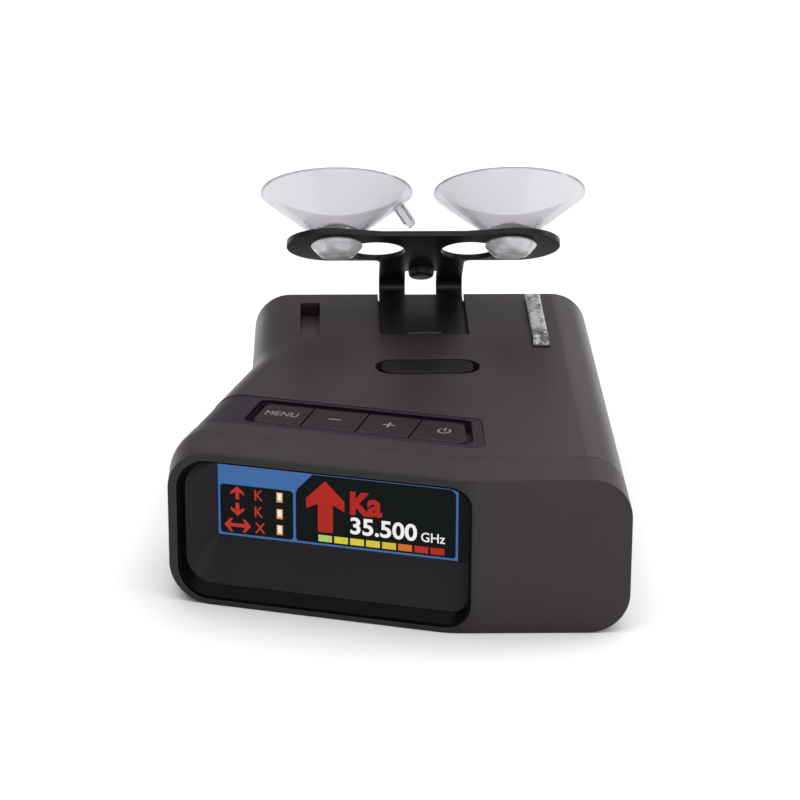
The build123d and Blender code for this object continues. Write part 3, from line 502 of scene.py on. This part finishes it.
orangeInk = litInk("orangeInk", (0.72, 0.36, 0.12))
barInks = [litInk(f"barInk{i}", c) for i, c in enumerate([
    (0.44, 0.60, 0.16), (0.66, 0.62, 0.05), (0.70, 0.60, 0.05), (0.70, 0.58, 0.05),
    (0.70, 0.52, 0.04), (0.66, 0.17, 0.02), (0.46, 0.032, 0.018), (0.44, 0.026, 0.014)])]
# text, a, b, capital's height, ink, bold, squeeze
screenWords = (
    ("K", 27.1, 7.5, 4.6, strongRedInk, 0.32, 0.92), ("a", 30.6, 7.5, 5.0, strongRedInk, 0.24, 0.98),
    ("35.500", 27.2, 3.3, 3.5, whiteInk, 0.12, 1.05), ("GHz", 41.5, 3.3, 2.0, whiteInk, 0.03, 0.95))


def arrowPoints(a, b, width, height, shaft, drop, edge, inner):
    # an upward arrow with thick wings; a is the middle and b the foot
    # below the tip: drop to a wing's outer corner, edge is its side, inner to where it meets the shaft
    half, s, top = width / 2, shaft / 2, b + height
    return [(a - s, b), (a + s, b), (a + s, top - inner), (a + half, top - drop - edge), (a + half, top - drop),
            (a, top), (a - half, top - drop), (a - half, top - drop - edge), (a - s, top - inner)]


def turnPoints(points, a, b, quarter):
    c, k = [(1, 0), (0, 1), (-1, 0), (0, -1)][quarter]
    return [(a + (x - a) * c - (y - b) * k, b + (x - a) * k + (y - b) * c) for x, y in points]


def smallArrow(a, b, quarter):
    points = arrowPoints(a, b - screen["smallArrow"][1] / 2, *screen["smallArrow"])
    return turnPoints(points, a, b, quarter)


def makePicture():
    right = turnedPoint(0, 0, 0) - turnedPoint(1, 0, 0)
    origin = turnedPoint(screen["left"], screen["depth"], screen["low"])
    flat = Flat("screen_picture", origin, right, Vector((0, 0, 1)))
    width, height = screen["left"] - screen["right"], screen["high"] - screen["low"]
    edge, header, cut = screen["border"], height - screen["header"], screen["corner"]
    (d0, d1), (s0, s1), (l1, l2, l3, l4) = screen["divider"], screen["slant"], screen["lifts"]
    flat.box(0, 0, width, height, blueInk, l1)
    flat.polygon([(edge + cut, edge), (d0 - cut, edge), (d0, edge + cut), (d0, header - cut), (d0 - cut, header),
                  (edge + cut, header), (edge, header - cut), (edge, edge + cut)], blackInk, l2)
    x1, y1 = width - edge, height - edge * 0.9
    flat.polygon([(d1 + cut, edge), (x1 - cut, edge), (x1, edge + cut), (x1, y1 - 2 * cut), (x1 - 2 * cut, y1),
                  (s1, y1), (s0, header + screen["slantRise"]), (d1, header - screen["slantStart"]),
                  (d1, edge + cut)], blackInk, l2)
    # left list: an arrow, a band letter and a small block on each row
    for row, (letter, b) in enumerate(screen["rows"]):
        a = screen["rowArrow"]
        if row < 2:
            flat.polygon(smallArrow(a, b, 2 * row), redInk, l3)
        else:
            for side, quarter in ((-1, 1), (1, 3)):
                points = smallArrow(a + side * screen["pairStep"], b, quarter)
                flat.polygon(points, redInk, l3 + side * screen["pairLift"])
        flat.words(letter, screen["letter"], b - screen["letterDrop"], screen["letterHeight"], redInk, l3,
                   bold=0.05 * mm, squeeze=0.9)
        for name, ink, lift in (("block", orangeInk, l3), ("blockLight", whiteInk, l4)):
            a0, b0, a1, b1 = screen[name]
            flat.box(a0, b + b0, a1, b + b1, ink, lift)
    # right: strong arrow, band, reading and bar
    flat.polygon(arrowPoints(*screen["strongPlace"], *screen["strongArrow"]), strongRedInk, l3)
    for text, a, b, tall, ink, bold, squeeze in screenWords:
        flat.words(text, a * mm, b * mm, tall * mm, ink, l3, bold=bold * mm, squeeze=squeeze)
    first, pitch, (low, high) = screen["barFirst"], screen["barPitch"], screen["barSpan"]
    for i, ink in enumerate(barInks):
        flat.box(first + i * pitch, low, first + (i + 1) * pitch - screen["barGap"], high, ink, l3)
    return flat.make("case")


makePicture()
print("screen picture made")


# legends on the keys

keyMarks = {"middleD": 25.4 * mm, "lift": 0.012 * mm, "sign": inMm(1.3, 0.2, 1.35), "word": inMm(-3.2, -1.1, 2.4),
            "ring": inMm(-0.1, 1.2, 0.34), "gap": (125, 415), "stem": inMm(0.17, 1.6)}
keyPlaces = {"key_menu": 41.9 * mm, "key_volume_down": 30.6 * mm, "key_volume_up": 19.4 * mm, "key_power": 8.0 * mm}
legendInk = plainInk("legendInk", (0.20, 0.185, 0.20), 0.5)


def makeLegend(node):
    right = turnedPoint(0, 0, 0) - turnedPoint(1, 0, 0)
    away = turnedPoint(0, 1, 0) - turnedPoint(0, 0, 0)
    origin = turnedPoint(keyPlaces[node], keyMarks["middleD"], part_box(node)[1].z)
    flat = Flat(node + "_legend", origin, right, away)
    lift = keyMarks["lift"]
    if node == "key_menu":
        flat.words("MENU", *keyMarks["word"], legendInk, lift, squeeze=0.78)
    elif node == "key_power":
        middle, radius, line = keyMarks["ring"]
        half, top = keyMarks["stem"]
        flat.ring(0, middle, radius, line, *keyMarks["gap"], legendInk, lift)
        flat.box(-half, middle, half, top, legendInk, lift)
    else:
        reach, half, rise = keyMarks["sign"]
        flat.box(-reach, -half, reach, half, legendInk, lift)
        if node == "key_volume_up":
            flat.box(-half, half, half, rise, legendInk, lift)
            flat.box(-half, -rise, half, -half, legendInk, lift)
    return flat.make(node + "_body")


for node in keyPlaces:
    makeLegend(node)
print("legends made")


# floor, light and camera

studio = {"floorColour": (0.88, 0.88, 0.885), "floorReach": 6.0, "floorGap": 0.1 * mm,
          "world": (0.94, 0.94, 0.96), "worldStrength": 0.27}
# name, place, aim, size in metres, watts
lamps = (("topSoftbox", (0.1, 0.1, 1.5), (0.1, 0.1, 0), (2.4, 2.4), 42),
         ("rightEdge", (1.1, 0.35, 0.55), (0, 0, 0.03), (0.5, 0.5), 4),
         ("frontKey", (0.2, -1.5, 0.72), (0, 0, 0.03), (0.55, 0.2), 3.6),
         ("backSoftbox", (0.75, 1.8, 0.72), (0, 0, 0.03), (1.1, 0.8), 1.3))


def makeFloor():
    bm = bmesh.new()
    reach = studio["floorReach"]
    low = cadBox[0].z - studio["floorGap"]  # so the case and the floor never lie in one plane
    bm.faces.new([bm.verts.new((x * reach, y * reach, low)) for x, y in ((-1, -1), (1, -1), (1, 1), (-1, 1))])
    mesh = bpy.data.meshes.new("floor")
    bm.to_mesh(mesh)
    bm.free()
    floor = bpy.data.objects.new("floor", mesh)
    bpy.context.scene.collection.objects.link(floor)
    mesh.materials.append(Finish("floorPaper").set(Base_Color=studio["floorColour"], Roughness=0.8))


def makeWorld():
    world = bpy.data.worlds.new("studioSky")
    world.use_nodes = True
    sky = world.node_tree.nodes["Background"]
    sky.inputs["Color"].default_value = (*studio["world"], 1)
    sky.inputs["Strength"].default_value = studio["worldStrength"]
    bpy.context.scene.world = world


def makeLamp(name, place, aim, size, power):
    lamp = bpy.data.lights.new(name, "AREA")
    lamp.shape = "RECTANGLE"
    lamp.size, lamp.size_y = size
    lamp.energy = power
    holder = bpy.data.objects.new(name, lamp)
    holder.location = place
    holder.rotation_euler = (Vector(aim) - Vector(place)).to_track_quat("-Z", "Y").to_euler()
    bpy.context.scene.collection.objects.link(holder)


# angles from level and straight ahead, lens in mm on a 36 mm sensor
cameraPlace = {"at": (-12.84 * mm, -579.68 * mm, 241.47 * mm), "down": math.radians(20.274),
               "right": math.radians(0.539), "roll": math.radians(0.036), "lens": 133.86,
               "shift": (0.0539, -0.0024)}


def makeCamera():
    data = bpy.data.cameras.new("camera")
    data.lens = cameraPlace["lens"]
    data.sensor_width = 36
    data.shift_x, data.shift_y = cameraPlace["shift"]
    data.clip_start, data.clip_end = 0.01, 50
    camera = bpy.data.objects.new("camera", data)
    camera.location = cameraPlace["at"]
    camera.rotation_euler = (math.pi / 2 - cameraPlace["down"], cameraPlace["roll"], -cameraPlace["right"])
    bpy.context.scene.collection.objects.link(camera)
    bpy.context.scene.camera = camera


makeFloor()
makeWorld()
for lamp in lamps:
    makeLamp(*lamp)
makeCamera()
bpy.context.scene.view_settings.view_transform = "Standard"
print("studio ready")
